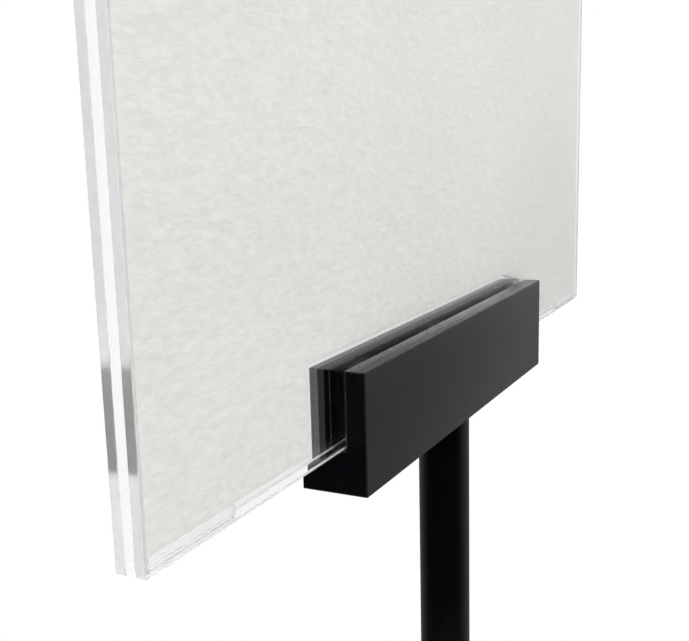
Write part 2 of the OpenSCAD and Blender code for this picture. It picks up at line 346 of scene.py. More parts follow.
def anodisedFinish(name, look):
    # satin black anodised aluminium: fine pits, drawing lines, cloudy dye, rubbed corners
    material = bpy.data.materials.new(name)
    material.use_nodes = True
    nodes = material.node_tree.nodes
    links = material.node_tree.links
    nodes.clear()
    dyeFrame = nodes.new("NodeFrame")
    dyeFrame.label = "cloudy dye"
    cornerFrame = nodes.new("NodeFrame")
    cornerFrame.label = "rubbed corners"
    grainFrame = nodes.new("NodeFrame")
    grainFrame.label = "blasted grain"
    place = nodes.new("ShaderNodeTexCoord")
    place.label = "place on the bar"
    place.location = (-1400, 0)
    cloud = nodes.new("ShaderNodeTexNoise")
    cloud.label = "dye clouds"
    cloud.location = (-1100, 350)
    dye = nodes.new("ShaderNodeValToRGB")
    dye.label = "black to charcoal"
    dye.location = (-850, 350)
    soft = nodes.new("ShaderNodeBevel")
    soft.label = "direction round the corner"
    soft.location = (-1100, 0)
    surface = nodes.new("ShaderNodeNewGeometry")
    surface.label = "true direction"
    surface.location = (-1100, -120)
    turned = nodes.new("ShaderNodeVectorMath")
    turned.label = "how far they differ"
    turned.location = (-900, -50)
    rub = nodes.new("ShaderNodeMapRange")
    rub.label = "corner mask"
    rub.location = (-700, -50)
    patch = nodes.new("ShaderNodeTexNoise")
    patch.label = "where hands rub"
    patch.location = (-900, -250)
    rubbed = nodes.new("ShaderNodeMath")
    rubbed.label = "broken up"
    rubbed.location = (-500, -100)
    tint = nodes.new("ShaderNodeMix")
    tint.label = "worn tint"
    tint.location = (-300, 200)
    shine = nodes.new("ShaderNodeMapRange")
    shine.label = "satin range"
    shine.location = (-300, 0)
    grain = nodes.new("ShaderNodeTexNoise")
    grain.label = "fine pits"
    grain.location = (-900, -500)
    drawn = nodes.new("ShaderNodeMapping")
    drawn.label = "stretched along the bar"
    drawn.location = (-1100, -700)
    draw = nodes.new("ShaderNodeTexNoise")
    draw.label = "drawing lines"
    draw.location = (-900, -700)
    pits = nodes.new("ShaderNodeBump")
    pits.label = "pit depth"
    pits.location = (-500, -500)
    lines = nodes.new("ShaderNodeBump")
    lines.label = "line depth"
    lines.location = (-300, -600)
    skin = nodes.new("ShaderNodeBsdfPrincipled")
    skin.label = "anodised skin"
    skin.location = (0, 0)
    out = nodes.new("ShaderNodeOutputMaterial")
    out.location = (300, 0)
    for node in (cloud, dye, tint):
        node.parent = dyeFrame
    for node in (soft, surface, turned, rub, patch, rubbed, shine):
        node.parent = cornerFrame
    for node in (grain, drawn, draw, pits, lines):
        node.parent = grainFrame
    cloud.inputs["Scale"].default_value = 38
    cloud.inputs["Detail"].default_value = 5
    cloud.inputs["Roughness"].default_value = 0.6
    dye.color_ramp.elements[0].position = 0.3
    dye.color_ramp.elements[0].color = (*look["dark"], 1)
    dye.color_ramp.elements[1].position = 0.75
    dye.color_ramp.elements[1].color = (*look["light"], 1)
    soft.samples = 4
    soft.inputs["Radius"].default_value = 0.5 * mm
    turned.operation = "DOT_PRODUCT"
    rub.inputs["From Min"].default_value = 0.995
    rub.inputs["From Max"].default_value = 0.93
    patch.inputs["Scale"].default_value = 260
    patch.inputs["Detail"].default_value = 4
    rubbed.operation = "MULTIPLY"
    tint.data_type = "RGBA"
    tint.inputs["B"].default_value = (*look["worn"], 1)
    shine.inputs["From Min"].default_value = 0.3
    shine.inputs["From Max"].default_value = 0.7
    shine.inputs["To Min"].default_value = look["rough"] - 0.03
    shine.inputs["To Max"].default_value = look["rough"] + 0.04
    grain.inputs["Scale"].default_value = 5200
    grain.inputs["Detail"].default_value = 2
    drawn.inputs["Scale"].default_value = (6, 900, 900)
    draw.inputs["Scale"].default_value = 1
    draw.inputs["Detail"].default_value = 3
    pits.inputs["Strength"].default_value = 0.25
    pits.inputs["Distance"].default_value = 0.02 * mm
    lines.inputs["Strength"].default_value = 0.2
    lines.inputs["Distance"].default_value = 0.01 * mm
    skin.inputs["Specular IOR Level"].default_value = look["gloss"]
    links.new(place.outputs["Object"], cloud.inputs["Vector"])
    links.new(place.outputs["Object"], patch.inputs["Vector"])
    links.new(place.outputs["Object"], grain.inputs["Vector"])
    links.new(place.outputs["Object"], drawn.inputs["Vector"])
    links.new(drawn.outputs["Vector"], draw.inputs["Vector"])
    links.new(cloud.outputs["Fac"], dye.inputs["Fac"])
    links.new(soft.outputs["Normal"], turned.inputs[0])
    links.new(surface.outputs["Normal"], turned.inputs[1])
    links.new(turned.outputs["Value"], rub.inputs["Value"])
    links.new(rub.outputs["Result"], rubbed.inputs[0])
    links.new(patch.outputs["Fac"], rubbed.inputs[1])
    links.new(rubbed.outputs["Value"], tint.inputs["Factor"])
    links.new(dye.outputs["Color"], tint.inputs["A"])
    links.new(tint.outputs["Result"], skin.inputs["Base Color"])
    links.new(cloud.outputs["Fac"], shine.inputs["Value"])
    links.new(shine.outputs["Result"], skin.inputs["Roughness"])
    links.new(grain.outputs["Fac"], pits.inputs["Height"])
    links.new(draw.outputs["Fac"], lines.inputs["Height"])
    links.new(pits.outputs["Normal"], lines.inputs["Normal"])
    links.new(lines.outputs["Normal"], skin.inputs["Normal"])
    links.new(skin.outputs["BSDF"], out.inputs["Surface"])
    return material


def coatFinish(name, coat):
    # baked coat on steel: orange peel, specks in the film, a trace of dust on level faces
    material = bpy.data.materials.new(name)
    material.use_nodes = True
    nodes = material.node_tree.nodes
    links = material.node_tree.links
    nodes.clear()
    filmFrame = nodes.new("NodeFrame")
    filmFrame.label = "colour of the film"
    dustFrame = nodes.new("NodeFrame")
    dustFrame.label = "dust on level faces"
    peelFrame = nodes.new("NodeFrame")
    peelFrame.label = "orange peel"
    place = nodes.new("ShaderNodeTexCoord")
    place.label = "place on the steel"
    place.location = (-1400, 0)
    cloud = nodes.new("ShaderNodeTexNoise")
    cloud.label = "uneven film"
    cloud.location = (-1100, 350)
    film = nodes.new("ShaderNodeValToRGB")
    film.label = "film colours"
    film.location = (-850, 350)
    surface = nodes.new("ShaderNodeNewGeometry")
    surface.label = "which way it faces"
    surface.location = (-1100, -50)
    up = nodes.new("ShaderNodeSeparateXYZ")
    up.label = "how level"
    up.location = (-900, -50)
    level = nodes.new("ShaderNodeMapRange")
    level.label = "level faces only"
    level.location = (-700, -50)
    settled = nodes.new("ShaderNodeTexNoise")
    settled.label = "settled dust"
    settled.location = (-900, -250)
    dusty = nodes.new("ShaderNodeMath")
    dusty.label = "thin dust"
    dusty.location = (-500, -100)
    tint = nodes.new("ShaderNodeMix")
    tint.label = "film under dust"
    tint.location = (-250, 200)
    shine = nodes.new("ShaderNodeMapRange")
    shine.label = "sheen of the film"
    shine.location = (-500, 50)
    peel = nodes.new("ShaderNodeTexNoise")
    peel.label = "peel"
    peel.location = (-900, -500)
    speck = nodes.new("ShaderNodeTexVoronoi")
    speck.label = "powder specks"
    speck.location = (-900, -720)
    peelDepth = nodes.new("ShaderNodeBump")
    peelDepth.label = "peel depth"
    peelDepth.location = (-500, -500)
    speckDepth = nodes.new("ShaderNodeBump")
    speckDepth.label = "speck depth"
    speckDepth.location = (-300, -600)
    skin = nodes.new("ShaderNodeBsdfPrincipled")
    skin.label = "baked coat"
    skin.location = (0, 0)
    out = nodes.new("ShaderNodeOutputMaterial")
    out.location = (300, 0)
    for node in (cloud, film, tint, shine):
        node.parent = filmFrame
    for node in (surface, up, level, settled, dusty):
        node.parent = dustFrame
    for node in (peel, speck, peelDepth, speckDepth):
        node.parent = peelFrame
    cloud.inputs["Scale"].default_value = 22
    cloud.inputs["Detail"].default_value = 6
    film.color_ramp.elements[0].position = 0.3
    film.color_ramp.elements[0].color = (*coat["dark"], 1)
    film.color_ramp.elements[1].position = 0.7
    film.color_ramp.elements[1].color = (*coat["light"], 1)
    level.inputs["From Min"].default_value = 0.6
    level.inputs["From Max"].default_value = 1
    level.inputs["To Max"].default_value = coat["dust"]
    settled.inputs["Scale"].default_value = 130
    settled.inputs["Detail"].default_value = 8
    settled.inputs["Roughness"].default_value = 0.7
    dusty.operation = "MULTIPLY"
    tint.data_type = "RGBA"
    tint.inputs["B"].default_value = (0.42, 0.4, 0.37, 1)
    shine.inputs["From Min"].default_value = 0.3
    shine.inputs["From Max"].default_value = 0.7
    shine.inputs["To Min"].default_value = coat["rough"] - 0.04
    shine.inputs["To Max"].default_value = coat["rough"] + 0.05
    peel.inputs["Scale"].default_value = coat["peelScale"]
    peel.inputs["Detail"].default_value = 3
    speck.inputs["Scale"].default_value = coat["peelScale"] * 2.6
    peelDepth.inputs["Strength"].default_value = coat["peelStrength"]
    peelDepth.inputs["Distance"].default_value = 0.06 * mm
    speckDepth.inputs["Strength"].default_value = coat["peelStrength"] * 0.6
    speckDepth.inputs["Distance"].default_value = 0.03 * mm
    skin.inputs["Specular IOR Level"].default_value = coat["gloss"]
    links.new(place.outputs["Object"], cloud.inputs["Vector"])
    links.new(place.outputs["Object"], settled.inputs["Vector"])
    links.new(place.outputs["Object"], peel.inputs["Vector"])
    links.new(place.outputs["Object"], speck.inputs["Vector"])
    links.new(cloud.outputs["Fac"], film.inputs["Fac"])
    links.new(cloud.outputs["Fac"], shine.inputs["Value"])
    links.new(surface.outputs["Normal"], up.inputs["Vector"])
    links.new(up.outputs["Z"], level.inputs["Value"])
    links.new(level.outputs["Result"], dusty.inputs[0])
    links.new(settled.outputs["Fac"], dusty.inputs[1])
    links.new(dusty.outputs["Value"], tint.inputs["Factor"])
    links.new(film.outputs["Color"], tint.inputs["A"])
    links.new(tint.outputs["Result"], skin.inputs["Base Color"])
    links.new(shine.outputs["Result"], skin.inputs["Roughness"])
    links.new(peel.outputs["Fac"], peelDepth.inputs["Height"])
    links.new(speck.outputs["Distance"], speckDepth.inputs["Height"])
    links.new(peelDepth.outputs["Normal"], speckDepth.inputs["Normal"])
    links.new(speckDepth.outputs["Normal"], skin.inputs["Normal"])
    links.new(skin.outputs["BSDF"], out.inputs["Surface"])
    return material


def metalFinish(name, metal):
    # turned metal: cutting marks around the axis, stains and a mottled polish
    material = bpy.data.materials.new(name)
    material.use_nodes = True
    nodes = material.node_tree.nodes
    links = material.node_tree.links
    nodes.clear()
    stainFrame = nodes.new("NodeFrame")
    stainFrame.label = "stains"
    markFrame = nodes.new("NodeFrame")
    markFrame.label = "cutting marks"
    place = nodes.new("ShaderNodeTexCoord")
    place.label = "place on the metal"
    place.location = (-1200, 0)
    stain = nodes.new("ShaderNodeTexNoise")
    stain.label = "stain clouds"
    stain.location = (-900, 250)
    colour = nodes.new("ShaderNodeValToRGB")
    colour.label = "metal colours"
    colour.location = (-600, 300)
    shine = nodes.new("ShaderNodeMapRange")
    shine.label = "mottled polish"
    shine.location = (-600, 50)
    along = nodes.new("ShaderNodeMapping")
    along.label = "fine along the axis only"
    along.location = (-900, -300)
    marks = nodes.new("ShaderNodeTexNoise")
    marks.label = "rings left by the tool"
    marks.location = (-700, -300)
    depth = nodes.new("ShaderNodeBump")
    depth.label = "ring depth"
    depth.location = (-450, -300)
    skin = nodes.new("ShaderNodeBsdfPrincipled")
    skin.label = "metal"
    skin.location = (-150, 0)
    out = nodes.new("ShaderNodeOutputMaterial")
    out.location = (150, 0)
    for node in (stain, colour, shine):
        node.parent = stainFrame
    for node in (along, marks, depth):
        node.parent = markFrame
    stain.inputs["Scale"].default_value = 420
    stain.inputs["Detail"].default_value = 5
    colour.color_ramp.elements[0].position = 0.3
    colour.color_ramp.elements[0].color = (*metal["dark"], 1)
    colour.color_ramp.elements[1].position = 0.7
    colour.color_ramp.elements[1].color = (*metal["light"], 1)
    shine.inputs["To Min"].default_value = metal["rough"] - 0.08
    shine.inputs["To Max"].default_value = metal["rough"] + 0.1
    along.inputs["Scale"].default_value = metal["marks"]
    marks.inputs["Scale"].default_value = 1
    marks.inputs["Detail"].default_value = 2
    depth.inputs["Strength"].default_value = 0.35
    depth.inputs["Distance"].default_value = 0.02 * mm
    skin.inputs["Metallic"].default_value = metal["metallic"]
    links.new(place.outputs["Object"], stain.inputs["Vector"])
    links.new(place.outputs["Object"], along.inputs["Vector"])
    links.new(along.outputs["Vector"], marks.inputs["Vector"])
    links.new(stain.outputs["Fac"], colour.inputs["Fac"])
    links.new(stain.outputs["Fac"], shine.inputs["Value"])
    links.new(colour.outputs["Color"], skin.inputs["Base Color"])
    links.new(shine.outputs["Result"], skin.inputs["Roughness"])
    links.new(marks.outputs["Fac"], depth.inputs["Height"])
    links.new(depth.outputs["Normal"], skin.inputs["Normal"])
    links.new(skin.outputs["BSDF"], out.inputs["Surface"])
    return material


def mouldedFinish(name, stuff):
    # moulded rubber or nylon: a fine mould texture and slightly uneven colour
    material = bpy.data.materials.new(name)
    material.use_nodes = True
    nodes = material.node_tree.nodes
    links = material.node_tree.links
    nodes.clear()
    colourFrame = nodes.new("NodeFrame")
    colourFrame.label = "uneven colour"
    mouldFrame = nodes.new("NodeFrame")
    mouldFrame.label = "mould texture"
    place = nodes.new("ShaderNodeTexCoord")
    place.label = "place on the moulding"
    place.location = (-1100, 0)
    cloud = nodes.new("ShaderNodeTexNoise")
    cloud.label = "mixing clouds"
    cloud.location = (-850, 250)
    colour = nodes.new("ShaderNodeValToRGB")
    colour.label = "moulding colours"
    colour.location = (-600, 300)
    shine = nodes.new("ShaderNodeMapRange")
    shine.label = "dull to satin"
    shine.location = (-600, 50)
    skinGrain = nodes.new("ShaderNodeTexVoronoi")
    skinGrain.label = "mould grain"
    skinGrain.location = (-850, -250)
    depth = nodes.new("ShaderNodeBump")
    depth.label = "grain depth"
    depth.location = (-500, -250)
    skin = nodes.new("ShaderNodeBsdfPrincipled")
    skin.label = "moulding"
    skin.location = (-150, 0)
    out = nodes.new("ShaderNodeOutputMaterial")
    out.location = (150, 0)
    for node in (cloud, colour, shine):
        node.parent = colourFrame
    for node in (skinGrain, depth):
        node.parent = mouldFrame
    cloud.inputs["Scale"].default_value = 90
    cloud.inputs["Detail"].default_value = 6
    colour.color_ramp.elements[0].position = 0.3
    colour.color_ramp.elements[0].color = (*stuff["dark"], 1)
    colour.color_ramp.elements[1].position = 0.75
    colour.color_ramp.elements[1].color = (*stuff["light"], 1)
    shine.inputs["To Min"].default_value = stuff["rough"] - 0.07
    shine.inputs["To Max"].default_value = stuff["rough"] + 0.08
    skinGrain.inputs["Scale"].default_value = 2600
    depth.inputs["Strength"].default_value = 0.3
    depth.inputs["Distance"].default_value = 0.03 * mm
    skin.inputs["Specular IOR Level"].default_value = stuff["gloss"]
    links.new(place.outputs["Object"], cloud.inputs["Vector"])
    links.new(place.outputs["Object"], skinGrain.inputs["Vector"])
    links.new(cloud.outputs["Fac"], colour.inputs["Fac"])
    links.new(cloud.outputs["Fac"], shine.inputs["Value"])
    links.new(colour.outputs["Color"], skin.inputs["Base Color"])
    links.new(shine.outputs["Result"], skin.inputs["Roughness"])
    links.new(skinGrain.outputs["Distance"], depth.inputs["Height"])
    links.new(depth.outputs["Normal"], skin.inputs["Normal"])
    links.new(skin.outputs["BSDF"], out.inputs["Surface"])
    return material


def clearFinish(name, sheet):
    # cast clear acrylic; a cut edge is the same sheet with haze and cutting streaks
    material = bpy.data.materials.new(name)
    material.use_nodes = True
    nodes = material.node_tree.nodes
    links = material.node_tree.links
    nodes.clear()
    polishFrame = nodes.new("NodeFrame")
    polishFrame.label = "polish and haze"
    waveFrame = nodes.new("NodeFrame")
    waveFrame.label = "waves and streaks"
    lightFrame = nodes.new("NodeFrame")
    lightFrame.label = "lets lamp light through"
    place = nodes.new("ShaderNodeTexCoord")
    place.label = "place on the sheet"
    place.location = (-1200, 0)
    wipe = nodes.new("ShaderNodeTexNoise")
    wipe.label = "wiping marks"
    wipe.location = (-900, 200)
    polish = nodes.new("ShaderNodeMapRange")
    polish.label = "polish"
    polish.location = (-600, 200)
    tone = nodes.new("ShaderNodeValToRGB")
    tone.label = "clear to hazy"
    tone.location = (-600, 450)
    streak = nodes.new("ShaderNodeMapping")
    streak.label = "streak direction"
    streak.location = (-900, -250)
    wave = nodes.new("ShaderNodeTexNoise")
    wave.label = "waves in the surface"
    wave.location = (-700, -250)
    depth = nodes.new("ShaderNodeBump")
    depth.label = "wave depth"
    depth.location = (-450, -250)
    acrylic = nodes.new("ShaderNodeBsdfPrincipled")
    acrylic.label = "acrylic"
    acrylic.location = (-150, 100)
    ray = nodes.new("ShaderNodeLightPath")
    ray.label = "ray to a lamp"
    ray.location = (-150, 450)
    through = nodes.new("ShaderNodeBsdfTransparent")
    through.label = "lamp light let through"
    through.location = (-150, -450)
    choice = nodes.new("ShaderNodeMixShader")
    choice.label = "sheet or lamp light"
    choice.location = (150, 100)
    out = nodes.new("ShaderNodeOutputMaterial")
    out.location = (350, 100)
    for node in (wipe, polish, tone):
        node.parent = polishFrame
    for node in (streak, wave, depth):
        node.parent = waveFrame
    for node in (ray, through, choice):
        node.parent = lightFrame
    wipe.inputs["Scale"].default_value = sheet["wipeScale"]
    wipe.inputs["Detail"].default_value = 5
    polish.inputs["From Min"].default_value = 0.35
    polish.inputs["From Max"].default_value = 0.75
    polish.inputs["To Min"].default_value = sheet["roughLow"]
    polish.inputs["To Max"].default_value = sheet["roughHigh"]
    tone.color_ramp.elements[0].position = 0.3
    tone.color_ramp.elements[0].color = (*sheet["clear"], 1)
    tone.color_ramp.elements[1].position = 0.8
    tone.color_ramp.elements[1].color = (*sheet["hazy"], 1)
    streak.inputs["Scale"].default_value = sheet["streaks"]
    wave.inputs["Scale"].default_value = 1
    wave.inputs["Detail"].default_value = 2
    depth.inputs["Strength"].default_value = sheet["waveStrength"]
    depth.inputs["Distance"].default_value = 0.02 * mm
    acrylic.inputs["IOR"].default_value = 1.49
    acrylic.inputs["Transmission Weight"].default_value = sheet["transmission"]
    through.inputs["Color"].default_value = (0.97, 0.97, 0.97, 1)
    links.new(place.outputs["Object"], wipe.inputs["Vector"])
    links.new(place.outputs["Object"], streak.inputs["Vector"])
    links.new(streak.outputs["Vector"], wave.inputs["Vector"])
    links.new(wipe.outputs["Fac"], polish.inputs["Value"])
    links.new(wipe.outputs["Fac"], tone.inputs["Fac"])
    links.new(tone.outputs["Color"], acrylic.inputs["Base Color"])
    links.new(polish.outputs["Result"], acrylic.inputs["Roughness"])
    links.new(wave.outputs["Fac"], depth.inputs["Height"])
    links.new(depth.outputs["Normal"], acrylic.inputs["Normal"])
    links.new(ray.outputs["Is Shadow Ray"], choice.inputs["Fac"])
    links.new(acrylic.outputs["BSDF"], choice.inputs[1])
    links.new(through.outputs["BSDF"], choice.inputs[2])
    links.new(choice.outputs["Shader"], out.inputs["Surface"])
    return material


def boardFinish(name, board):
    # off-white board with long soft wrinkles pressed into its paper face; its colour is painted darker in
    # the hollows and lighter on the crests of the short wrinkles, as painted shade and painted light
    material = bpy.data.materials.new(name)
    material.use_nodes = True
    nodes = material.node_tree.nodes
    links = material.node_tree.links
    nodes.clear()
    toneFrame = nodes.new("NodeFrame")
    toneFrame.label = "paper tone"
    reliefFrame = nodes.new("NodeFrame")
    reliefFrame.label = "pressed relief"
    fibreFrame = nodes.new("NodeFrame")
    fibreFrame.label = "paper fibre"
    place = nodes.new("ShaderNodeTexCoord")
    place.label = "place on the board"
    place.location = (-1500, 0)
    wide = nodes.new("ShaderNodeMapping")
    wide.label = "wider than high"
    wide.location = (-1250, 0)
    relief = nodes.new("ShaderNodeTexNoise")
    relief.label = "long wrinkles"
    relief.location = (-1000, 0)
    small = nodes.new("ShaderNodeTexNoise")
    small.label = "short wrinkles"
    small.location = (-1000, -220)
    fibre = nodes.new("ShaderNodeTexNoise")
    fibre.label = "fibres"
    fibre.location = (-1000, -500)
    drift = nodes.new("ShaderNodeTexNoise")
    drift.label = "slow drift of tone"
    drift.location = (-1000, 300)
    # colour follows the short wrinkles: darker in their hollows as painted shade, lighter on their crests
    # as painted light; the slow drift is the paper's own tone
    mixed = nodes.new("ShaderNodeMix")
    mixed.label = "tone drift and painted wrinkle shade"
    mixed.location = (-750, 200)
    tone = nodes.new("ShaderNodeValToRGB")
    tone.label = "painted shade in hollows, painted light on crests"
    tone.location = (-550, 250)
    longDepth = nodes.new("ShaderNodeBump")
    longDepth.label = "long wrinkle depth"
    longDepth.location = (-700, -50)
    shortDepth = nodes.new("ShaderNodeBump")
    shortDepth.label = "short wrinkle depth"
    shortDepth.location = (-500, -150)
    fibreDepth = nodes.new("ShaderNodeBump")
    fibreDepth.label = "fibre depth"
    fibreDepth.location = (-300, -300)
    paper = nodes.new("ShaderNodeBsdfPrincipled")
    paper.label = "paper face"
    paper.location = (0, 0)
    out = nodes.new("ShaderNodeOutputMaterial")
    out.location = (300, 0)
    for node in (drift, mixed, tone):
        node.parent = toneFrame
    for node in (wide, relief, small, longDepth, shortDepth):
        node.parent = reliefFrame
    for node in (fibre, fibreDepth):
        node.parent = fibreFrame
    wide.inputs["Scale"].default_value = (0.42, 1, 1)
    relief.inputs["Scale"].default_value = 190
    relief.inputs["Detail"].default_value = 4
    relief.inputs["Distortion"].default_value = 0.6
    small.inputs["Scale"].default_value = 520
    small.inputs["Detail"].default_value = 3
    small.inputs["Distortion"].default_value = 0.4
    fibre.inputs["Scale"].default_value = 2400
    fibre.inputs["Detail"].default_value = 4
    drift.inputs["Scale"].default_value = 9
    drift.inputs["Detail"].default_value = 3
    mixed.inputs["Factor"].default_value = 0.8
    tone.color_ramp.elements[0].position = 0.32
    tone.color_ramp.elements[0].color = (*board["hollow"], 1)
    tone.color_ramp.elements[1].position = 0.68
    tone.color_ramp.elements[1].color = (*board["crest"], 1)
    longDepth.inputs["Strength"].default_value = board["relief"]
    longDepth.inputs["Distance"].default_value = 0.5 * mm
    shortDepth.inputs["Strength"].default_value = board["relief"] * 0.7
    shortDepth.inputs["Distance"].default_value = 0.2 * mm
    fibreDepth.inputs["Strength"].default_value = 0.15
    fibreDepth.inputs["Distance"].default_value = 0.02 * mm
    paper.inputs["Roughness"].default_value = 0.72
    paper.inputs["Specular IOR Level"].default_value = 0.25
    links.new(place.outputs["Object"], wide.inputs["Vector"])
    links.new(place.outputs["Object"], fibre.inputs["Vector"])
    links.new(place.outputs["Object"], drift.inputs["Vector"])
    links.new(wide.outputs["Vector"], relief.inputs["Vector"])
    links.new(wide.outputs["Vector"], small.inputs["Vector"])
    links.new(drift.outputs["Fac"], mixed.inputs["A"])
    links.new(small.outputs["Fac"], mixed.inputs["B"])
    links.new(mixed.outputs["Result"], tone.inputs["Fac"])
    links.new(tone.outputs["Color"], paper.inputs["Base Color"])
    links.new(relief.outputs["Fac"], longDepth.inputs["Height"])
    links.new(small.outputs["Fac"], shortDepth.inputs["Height"])
    links.new(fibre.outputs["Fac"], fibreDepth.inputs["Height"])
    links.new(longDepth.outputs["Normal"], shortDepth.inputs["Normal"])
    links.new(shortDepth.outputs["Normal"], fibreDepth.inputs["Normal"])
    links.new(fibreDepth.outputs["Normal"], paper.inputs["Normal"])
    links.new(paper.outputs["BSDF"], out.inputs["Surface"])
    return material


def floorFinish(name):
    # pale paper sweep that fades out towards its rim and can't be seen from below
    material = bpy.data.materials.new(name)
    material.use_nodes = True
    nodes = material.node_tree.nodes
    links = material.node_tree.links
    nodes.clear()
    fadeFrame = nodes.new("NodeFrame")
    fadeFrame.label = "fades at the rim"
    paperFrame = nodes.new("NodeFrame")
    paperFrame.label = "paper"
    place = nodes.new("ShaderNodeTexCoord")
    place.label = "place on the floor"
    place.location = (-900, 0)
    away = nodes.new("ShaderNodeVectorMath")
    away.label = "distance from the stand"
    away.location = (-700, 200)
    fade = nodes.new("ShaderNodeMapRange")
    fade.label = "fade"
    fade.location = (-500, 200)
    side = nodes.new("ShaderNodeNewGeometry")
    side.label = "seen from below"
    side.location = (-700, 400)
    gone = nodes.new("ShaderNodeMath")
    gone.label = "rim or underside"
    gone.location = (-300, 300)
    grain = nodes.new("ShaderNodeTexNoise")
    grain.label = "paper grain"
    grain.location = (-700, -100)
    tone = nodes.new("ShaderNodeValToRGB")
    tone.label = "paper tone"
    tone.location = (-500, -100)
    paper = nodes.new("ShaderNodeBsdfPrincipled")
    paper.label = "paper sweep"
    paper.location = (-200, -100)
    clear = nodes.new("ShaderNodeBsdfTransparent")
    clear.label = "nothing beyond the rim"
    clear.location = (-200, 150)
    choice = nodes.new("ShaderNodeMixShader")
    choice.label = "paper or nothing"
    choice.location = (50, 50)
    out = nodes.new("ShaderNodeOutputMaterial")
    out.location = (250, 50)
    for node in (away, fade, side, gone, clear):
        node.parent = fadeFrame
    for node in (grain, tone, paper):
        node.parent = paperFrame
    away.operation = "LENGTH"
    gone.operation = "MAXIMUM"
    fade.interpolation_type = "SMOOTHSTEP"
    fade.inputs["From Min"].default_value = studio["floorRadius"] * studio["floorClear"]
    fade.inputs["From Max"].default_value = studio["floorRadius"]
    grain.inputs["Scale"].default_value = 60
    grain.inputs["Detail"].default_value = 6
    tone.color_ramp.elements[0].color = (0.8, 0.8, 0.8, 1)
    tone.color_ramp.elements[1].color = (0.86, 0.86, 0.86, 1)
    paper.inputs["Roughness"].default_value = 0.9
    links.new(place.outputs["Object"], away.inputs[0])
    links.new(place.outputs["Object"], grain.inputs["Vector"])
    links.new(away.outputs["Value"], fade.inputs["Value"])
    links.new(grain.outputs["Fac"], tone.inputs["Fac"])
    links.new(tone.outputs["Color"], paper.inputs["Base Color"])
    links.new(fade.outputs["Result"], gone.inputs[0])
    links.new(side.outputs["Backfacing"], gone.inputs[1])
    links.new(gone.outputs["Value"], choice.inputs["Fac"])
    links.new(paper.outputs["BSDF"], choice.inputs[1])
    links.new(clear.outputs["BSDF"], choice.inputs[2])
    links.new(choice.outputs["Shader"], out.inputs["Surface"])
    return material


print("materials")
finishes = {
    "base_powder_coat": coatFinish("basePowderCoat", {
        "dark": (0.009, 0.009, 0.01), "light": (0.016, 0.016, 0.017), "rough": 0.46, "gloss": 0.4,
        "dust": 0.035, "peelScale": 1500, "peelStrength": 0.5,
    }),
    "pole_enamel": coatFinish("poleEnamel", {
        "dark": (0.0008, 0.0008, 0.0013), "light": (0.0016, 0.0016, 0.0024), "rough": 0.3, "gloss": 0.6,
        "dust": 0.01, "peelScale": 900, "peelStrength": 0.12,
    }),
    "black_anodised": anodisedFinish("blackAnodised", {
        "dark": (0.0128, 0.0147, 0.0143), "light": (0.0185, 0.0203, 0.0198), "worn": (0.028, 0.029, 0.029),
        "rough": 0.26, "gloss": 0.39,
    }),
    "zinc_steel": metalFinish("zincSteel", {
        "dark": (0.4, 0.41, 0.44), "light": (0.6, 0.61, 0.62), "rough": 0.34, "metallic": 1,
        "marks": (40, 40, 5000),
    }),
    "turned_steel": metalFinish("turnedSteel", {
        "dark": (0.33, 0.33, 0.35), "light": (0.5, 0.5, 0.51), "rough": 0.34, "metallic": 1,
        "marks": (40, 40, 6000),
    }),
    "black_oxide_steel": metalFinish("blackOxideSteel", {
        "dark": (0.016, 0.016, 0.018), "light": (0.05, 0.049, 0.05), "rough": 0.36, "metallic": 0.8,
        "marks": (40, 5000, 40),
    }),
    "brass_tip": metalFinish("brassTip", {
        "dark": (0.5, 0.34, 0.12), "light": (0.7, 0.5, 0.2), "rough": 0.3, "metallic": 1,
        "marks": (40, 5000, 40),
    }),
    "pad_rubber": mouldedFinish("padRubber", {
        "dark": (0.012, 0.012, 0.012), "light": (0.026, 0.026, 0.026), "rough": 0.78, "gloss": 0.3,
    }),
    "strip_rubber": mouldedFinish("stripRubber", {
        "dark": (0.004, 0.004, 0.004), "light": (0.01, 0.01, 0.01), "rough": 0.82, "gloss": 0.25,
    }),
    "black_nylon": mouldedFinish("blackNylon", {
        "dark": (0.006, 0.006, 0.006), "light": (0.013, 0.013, 0.013), "rough": 0.5, "gloss": 0.35,
    }),
    "natural_nylon": mouldedFinish("naturalNylon", {
        "dark": (0.68, 0.66, 0.6), "light": (0.82, 0.8, 0.74), "rough": 0.45, "gloss": 0.5,
    }),
    "clear_acrylic": clearFinish("clearAcrylic", {
        "clear": (0.97, 0.974, 0.974), "hazy": (0.945, 0.95, 0.95), "roughLow": 0.0, "roughHigh": 0.012,
        "wipeScale": 14, "streaks": (9, 9, 9), "waveStrength": 0.05, "transmission": 1,
    }),
    # hollow and crest colours are painted shade and painted light on the board's short wrinkles
    "embossed_board": boardFinish("embossedBoard", {
        "hollow": (0.752, 0.757, 0.712), "crest": (0.85, 0.854, 0.808), "relief": 1.0,
    }),
}
cutEdge = clearFinish("cutEdge", {
    "clear": (0.98, 0.98, 0.99), "hazy": (0.92, 0.92, 0.94), "roughLow": 0.08, "roughHigh": 0.2,
    "wipeScale": 300, "streaks": (300, 300, 220), "waveStrength": 0.03, "transmission": 0.68,
})
# a darker copy of the anodised finish: duller, as sawn ends are, with a darker black that is painted shade
# on the ends and in the slot
sawnEndAndSlotShade = anodisedFinish("sawnEndAndSlotShade", {
    "dark": (0.0016, 0.002, 0.003), "light": (0.003, 0.0036, 0.005), "worn": (0.02, 0.02, 0.021),
    "rough": 0.5, "gloss": 0.08,
})
for entry in frame["record"]["subparts"]:
    node = frame["nodes"][entry["node"]]
    node.data.materials.clear()
    node.data.materials.append(finishes[entry["material_slot"]])


# Base: plate, pads, bolt and washers

plateShape = {
    "rimTop": 2.0 * mm,
    "rimBottom": 1.0 * mm,
    "sides": 192,
    "recess": 11 * mm,
    "hole": 4.3 * mm,
    "poleClearance": 0.05 * mm,
}


